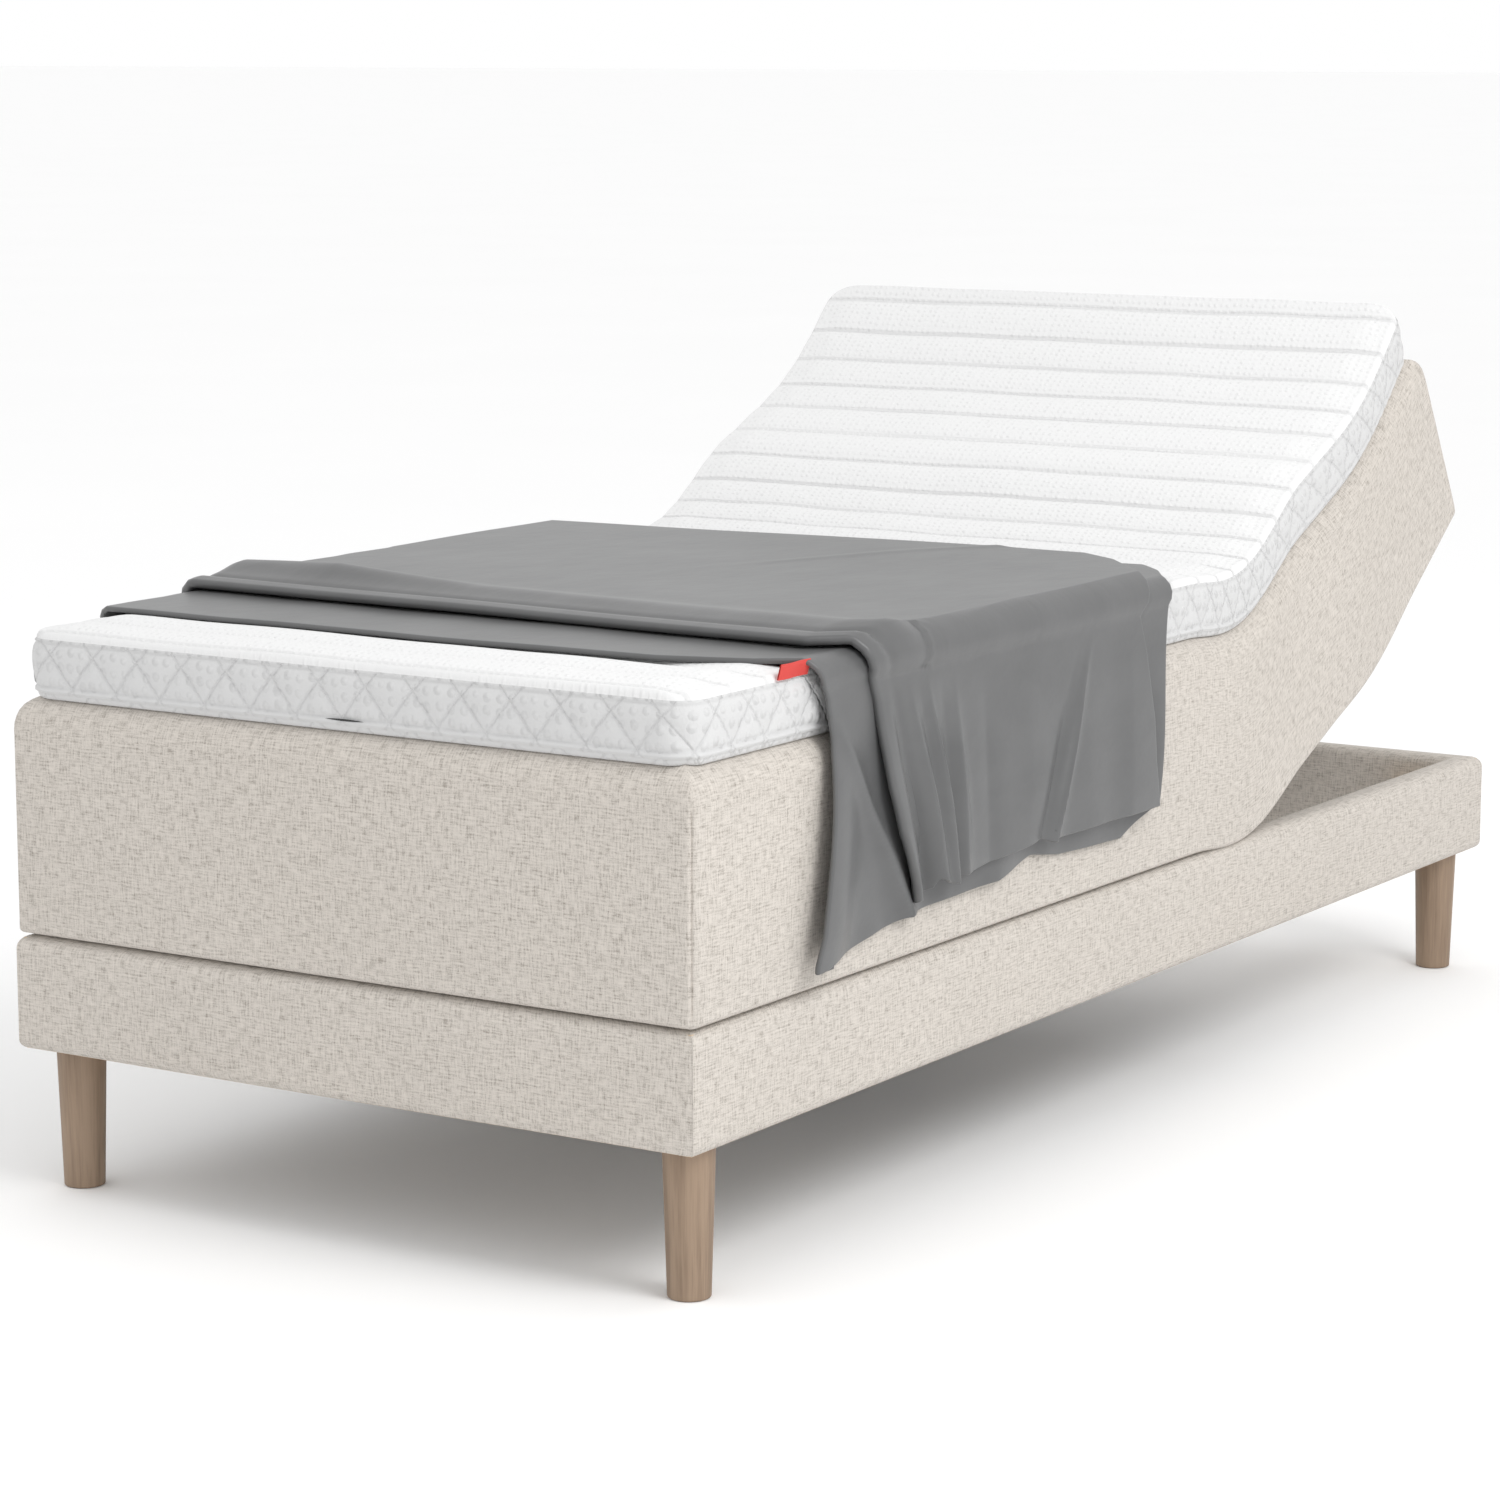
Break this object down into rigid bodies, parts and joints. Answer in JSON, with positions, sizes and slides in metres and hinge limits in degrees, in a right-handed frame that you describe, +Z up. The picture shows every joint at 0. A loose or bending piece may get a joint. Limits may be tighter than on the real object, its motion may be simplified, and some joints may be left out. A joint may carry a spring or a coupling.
{
  "type": "adjustable bed",
  "caption": "Upholstered adjustable bed on turned legs: hinged padded sections, raised back and head, lift gear, quilted topper and a satin throw.",
  "frame": {"origin": "on the floor, in the middle of the bed's plan", "axes": "+X across the bed, +Y to the head end, +Z up"},
  "size_m": [0.914, 2, 0.9136],
  "materials": {
    "rail_timber": "sawn softwood",
    "base_upholstery": "melange linen weave",
    "turned_oak": "clear matt lacquer",
    "zinc_steel": "zinc plated",
    "frame_steel": "satin powder coat",
    "plywood": "birch plywood",
    "foam": "foam and springs in a felt bag",
    "unit_upholstery": "melange linen weave",
    "topper_knit": "quilted knit",
    "throw_satin": "satin",
    "nylon": "moulded nylon",
    "drive_plastic": "fine spark texture",
    "motor_steel": "satin"
  },
  "bodies": {
    "base": {"side_rail_left": "rail_timber", "side_rail_right": "rail_timber", "foot_rail": "rail_timber", "head_rail": "rail_timber", "corner_blocks": "rail_timber", "base_cover": "base_upholstery", "leg_head_right": "turned_oak", "leg_head_left": "turned_oak", "leg_foot_right": "turned_oak", "leg_foot_left": "turned_oak", "leg_bolts": "zinc_steel", "cross_beams": "frame_steel", "tube_bushes": "nylon", "seat_frame": "frame_steel", "seat_deck": "plywood", "seat_core": "foam", "seat_cover": "unit_upholstery", "seat_topper": "topper_knit", "seat_hinge_pins": "zinc_steel", "drive_housing": "drive_plastic", "drive_lid": "drive_plastic", "drive_motors": "motor_steel"},
    "calf": {"calf_frame": "frame_steel", "calf_deck": "plywood", "calf_core": "foam", "calf_cover": "unit_upholstery", "calf_topper": "topper_knit"},
    "thigh": {"thigh_frame": "frame_steel", "thigh_deck": "plywood", "thigh_core": "foam", "thigh_cover": "unit_upholstery", "thigh_topper": "topper_knit", "knee_hinge_pins": "zinc_steel", "thigh_flex": "unit_upholstery", "throw": "throw_satin"},
    "back": {"back_frame": "frame_steel", "back_deck": "plywood", "back_core": "foam", "back_cover": "unit_upholstery", "back_topper": "topper_knit", "head_hinge_pins": "zinc_steel", "back_flex": "unit_upholstery", "neck_actuator": "drive_plastic"},
    "head": {"head_frame": "frame_steel", "head_deck": "plywood", "head_core": "foam", "head_cover": "unit_upholstery", "head_topper": "topper_knit", "head_flex": "unit_upholstery"},
    "back_tube": {"back_lift_tube": "frame_steel"},
    "leg_tube": {"leg_lift_tube": "frame_steel"},
    "back_rollers": {"back_rollers": "nylon"},
    "leg_rollers": {"leg_rollers": "nylon"},
    "back_slider": {"drive_slider_back": "nylon"},
    "leg_slider": {"drive_slider_legs": "nylon"},
    "back_screw": {"lead_screw_back": "zinc_steel"},
    "leg_screw": {"lead_screw_legs": "zinc_steel"},
    "neck_rod": {"neck_rod": "zinc_steel"}
  },
  "joints": [
    {"name": "back_lift", "type": "hinge", "parent": "base", "child": "back", "pos_m": [0, 0.27, 0.272], "axis": [1, 0, 0], "range_deg": [-23.5, 21.5], "deforming": ["back_flex"]},
    {"name": "head_tilt", "type": "hinge", "parent": "back", "child": "head", "pos_m": [0, 0.62765, 0.42751], "axis": [1, 0, 0], "range_deg": [-12, 18], "deforming": ["head_flex"]},
    {"name": "thigh_lift", "type": "hinge", "parent": "base", "child": "thigh", "pos_m": [0, -0.05, 0.272], "axis": [-1, 0, 0], "range_deg": [0, 30], "deforming": ["thigh_flex"]},
    {"name": "knee_bend", "type": "hinge", "parent": "thigh", "child": "calf", "pos_m": [0, -0.4, 0.272], "axis": [1, 0, 0], "range_deg": [0, 46.5], "deforming": ["throw"]},
    {"name": "back_tube_turn", "type": "hinge", "parent": "base", "child": "back_tube", "pos_m": [0, 0.44, 0.272], "axis": [1, 0, 0], "range_deg": [-47, 43]},
    {"name": "leg_tube_turn", "type": "hinge", "parent": "base", "child": "leg_tube", "pos_m": [0, -0.18, 0.272], "axis": [-1, 0, 0], "range_deg": [0, 60]},
    {"name": "back_roller_spin", "type": "hinge", "parent": "back_tube", "child": "back_rollers", "pos_m": [0, 0.55594, 0.39633], "axis": [1, 0, 0], "range_deg": [-170, 156]},
    {"name": "leg_roller_spin", "type": "hinge", "parent": "leg_tube", "child": "leg_rollers", "pos_m": [0, -0.31, 0.272], "axis": [1, 0, 0], "range_deg": [-127, 0]},
    {"name": "back_slider_travel", "type": "slide", "parent": "base", "child": "back_slider", "axis": [0, 1, 0], "range_m": [-0.0458, 0.0419]},
    {"name": "leg_slider_travel", "type": "slide", "parent": "base", "child": "leg_slider", "axis": [0, -1, 0], "range_m": [0, 0.0621]},
    {"name": "neck_rod_travel", "type": "slide", "parent": "back", "child": "neck_rod", "axis": [0, 0.9171, 0.3987], "range_m": [-0.0133, 0.0199]},
    {"name": "back_screw_turn", "type": "hinge", "parent": "base", "child": "back_screw", "pos_m": [0, 0.365, 0.192], "axis": [0, 1, 0], "continuous": true},
    {"name": "leg_screw_turn", "type": "hinge", "parent": "base", "child": "leg_screw", "pos_m": [0, -0.105, 0.192], "axis": [0, 1, 0], "continuous": true}
  ],
  "couplings": [
    {"joint": "knee_bend", "follows": "thigh_lift", "ratio": 1.55},
    {"joint": "back_tube_turn", "follows": "back_lift", "ratio": 2},
    {"joint": "leg_tube_turn", "follows": "thigh_lift", "ratio": 2},
    {"joint": "back_roller_spin", "follows": "back_lift", "ratio": 7.2},
    {"joint": "leg_roller_spin", "follows": "thigh_lift", "ratio": -4.2},
    {"joint": "back_slider_travel", "follows": "back_lift", "m_per_rad": 0.11164},
    {"joint": "leg_slider_travel", "follows": "thigh_lift", "m_per_rad": 0.11841},
    {"joint": "neck_rod_travel", "follows": "head_tilt", "m_per_rad": 0.063271}
  ]
}
